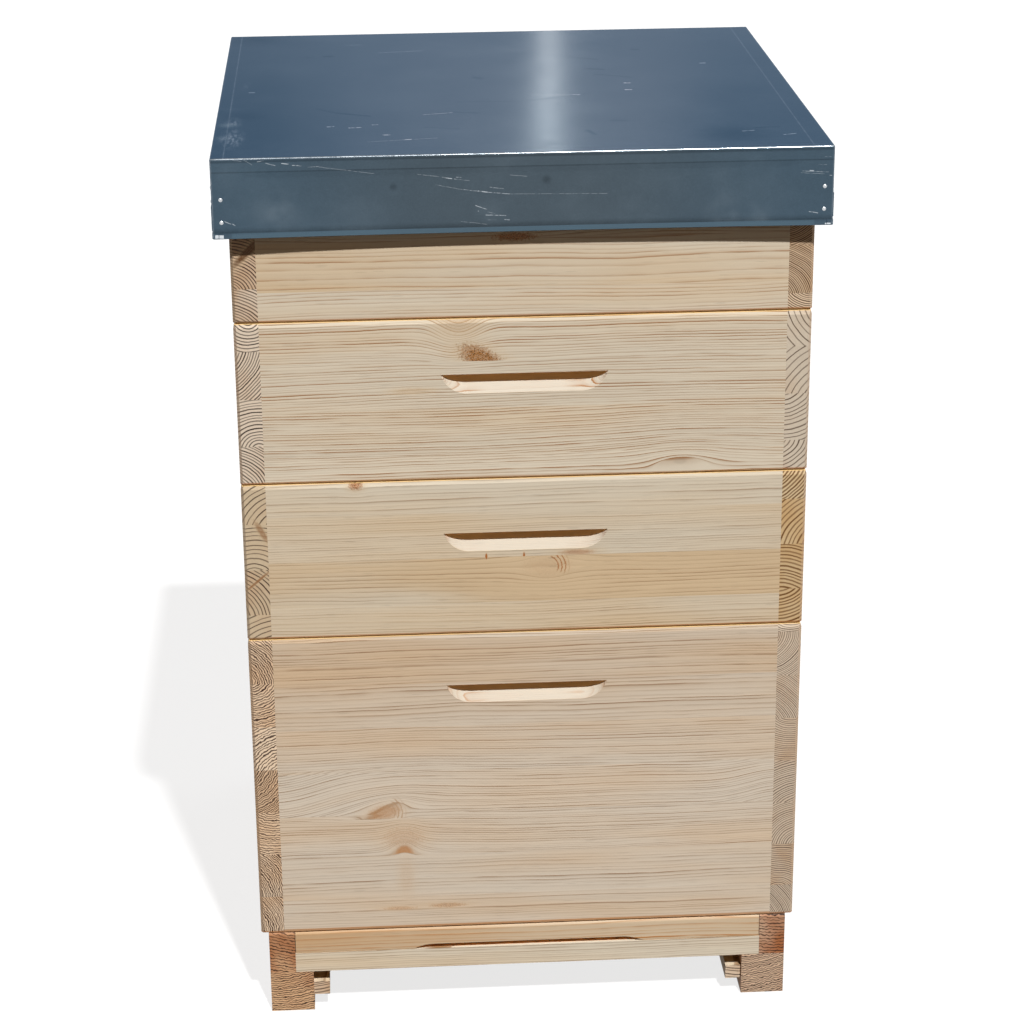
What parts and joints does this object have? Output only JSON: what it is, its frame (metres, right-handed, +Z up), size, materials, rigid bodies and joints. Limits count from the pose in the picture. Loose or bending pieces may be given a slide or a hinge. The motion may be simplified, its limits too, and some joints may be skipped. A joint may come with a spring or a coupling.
{
  "type": "beehive",
  "caption": "Stacked wooden Dadant beehive with brood box, honey supers, feeder box, flat metal roof and a bottom board; boxes and frames lift out.",
  "frame": {"origin": "centre of the hive's plan, on the ground under the runners", "axes": "+Z up, -Y out of the entrance at the front, +X to the right for someone facing the front"},
  "size_m": [0.5356, 0.5356, 0.8386],
  "materials": {
    "box_pine": "planed and glued pine boards, unpainted",
    "floor_pine": "planed pine, unpainted",
    "runner_pine": "sawn heartwood pine, unpainted",
    "plywood": "plain plywood",
    "frame_wood": "planed limewood",
    "wax": "beeswax sheet pressed with cell bases",
    "galvanised_sheet": "folded galvanised sheet, blue-grey and a little scuffed",
    "zinc_steel": "zinc-plated steel",
    "tinplate": "bent tinplate",
    "fibre_board": "soft wood-fibre board"
  },
  "bodies": {
    "floor": {"runner_left": "runner_pine", "runner_right": "runner_pine", "floor_front_rail": "floor_pine", "floor_back_rail": "floor_pine", "floor_side_rail_left": "floor_pine", "floor_side_rail_right": "floor_pine", "floor_mesh": "zinc_steel", "tray_rail_left": "floor_pine", "tray_rail_right": "floor_pine", "floor_screws": "zinc_steel"},
    "entrance_reducer": {"entrance_reducer": "floor_pine"},
    "inspection_board": {"inspection_board": "plywood", "board_handle": "floor_pine"},
    "brood_box": {"brood_front_wall": "box_pine", "brood_back_wall": "box_pine", "brood_left_wall": "box_pine", "brood_right_wall": "box_pine", "brood_frame_rests": "zinc_steel", "brood_screws": "zinc_steel"},
    "brood_frames": {"brood_top_bars": "frame_wood", "brood_side_bars": "frame_wood", "brood_bottom_bars": "frame_wood", "brood_foundation": "wax"},
    "lower_super_box": {"lower_super_front_wall": "box_pine", "lower_super_back_wall": "box_pine", "lower_super_left_wall": "box_pine", "lower_super_right_wall": "box_pine", "lower_super_frame_rests": "zinc_steel", "lower_super_screws": "zinc_steel"},
    "lower_super_frames": {"lower_super_top_bars": "frame_wood", "lower_super_side_bars": "frame_wood", "lower_super_bottom_bars": "frame_wood", "lower_super_foundation": "wax"},
    "upper_super_box": {"upper_super_front_wall": "box_pine", "upper_super_back_wall": "box_pine", "upper_super_left_wall": "box_pine", "upper_super_right_wall": "box_pine", "upper_super_frame_rests": "zinc_steel", "upper_super_screws": "zinc_steel"},
    "upper_super_frames": {"upper_super_top_bars": "frame_wood", "upper_super_side_bars": "frame_wood", "upper_super_bottom_bars": "frame_wood", "upper_super_foundation": "wax"},
    "feeder_box": {"feeder_front_wall": "box_pine", "feeder_back_wall": "box_pine", "feeder_left_wall": "box_pine", "feeder_right_wall": "box_pine", "feeder_floor": "plywood", "chimney_board_front": "floor_pine", "chimney_board_back": "floor_pine", "feeder_screws": "zinc_steel"},
    "feeder_cap": {"feeder_cap": "tinplate"},
    "roof": {"roof_sheet": "galvanised_sheet", "roof_rim_front": "floor_pine", "roof_rim_back": "floor_pine", "roof_rim_left": "floor_pine", "roof_rim_right": "floor_pine", "roof_board": "floor_pine", "roof_insulation": "fibre_board", "roof_nails": "zinc_steel"}
  },
  "joints": [
    {"name": "entrance_reducer_pull", "type": "slide", "parent": "floor", "child": "entrance_reducer", "axis": [0, -1, 0], "range_m": [0, 0.06]},
    {"name": "inspection_board_slide", "type": "slide", "parent": "floor", "child": "inspection_board", "axis": [0, 1, 0], "range_m": [0, 0.49]},
    {"name": "brood_box_lift", "type": "slide", "parent": "floor", "child": "brood_box", "axis": [0, 0, 1], "range_m": [0, 0.12]},
    {"name": "brood_frames_lift", "type": "slide", "parent": "brood_box", "child": "brood_frames", "axis": [0, 0, 1], "range_m": [0, 0.31]},
    {"name": "lower_super_lift", "type": "slide", "parent": "brood_frames", "child": "lower_super_box", "axis": [0, 0, 1], "range_m": [0, 0.12]},
    {"name": "lower_super_frames_lift", "type": "slide", "parent": "lower_super_box", "child": "lower_super_frames", "axis": [0, 0, 1], "range_m": [0, 0.16]},
    {"name": "upper_super_lift", "type": "slide", "parent": "lower_super_frames", "child": "upper_super_box", "axis": [0, 0, 1], "range_m": [0, 0.12]},
    {"name": "upper_super_frames_lift", "type": "slide", "parent": "upper_super_box", "child": "upper_super_frames", "axis": [0, 0, 1], "range_m": [0, 0.16]},
    {"name": "feeder_lift", "type": "slide", "parent": "upper_super_frames", "child": "feeder_box", "axis": [0, 0, 1], "range_m": [0, 0.12]},
    {"name": "feeder_cap_lift", "type": "slide", "parent": "feeder_box", "child": "feeder_cap", "axis": [0, 0, 1], "range_m": [0, 0.11]},
    {"name": "roof_lift", "type": "slide", "parent": "feeder_cap", "child": "roof", "axis": [0, 0, 1], "range_m": [0, 0.12]}
  ]
}
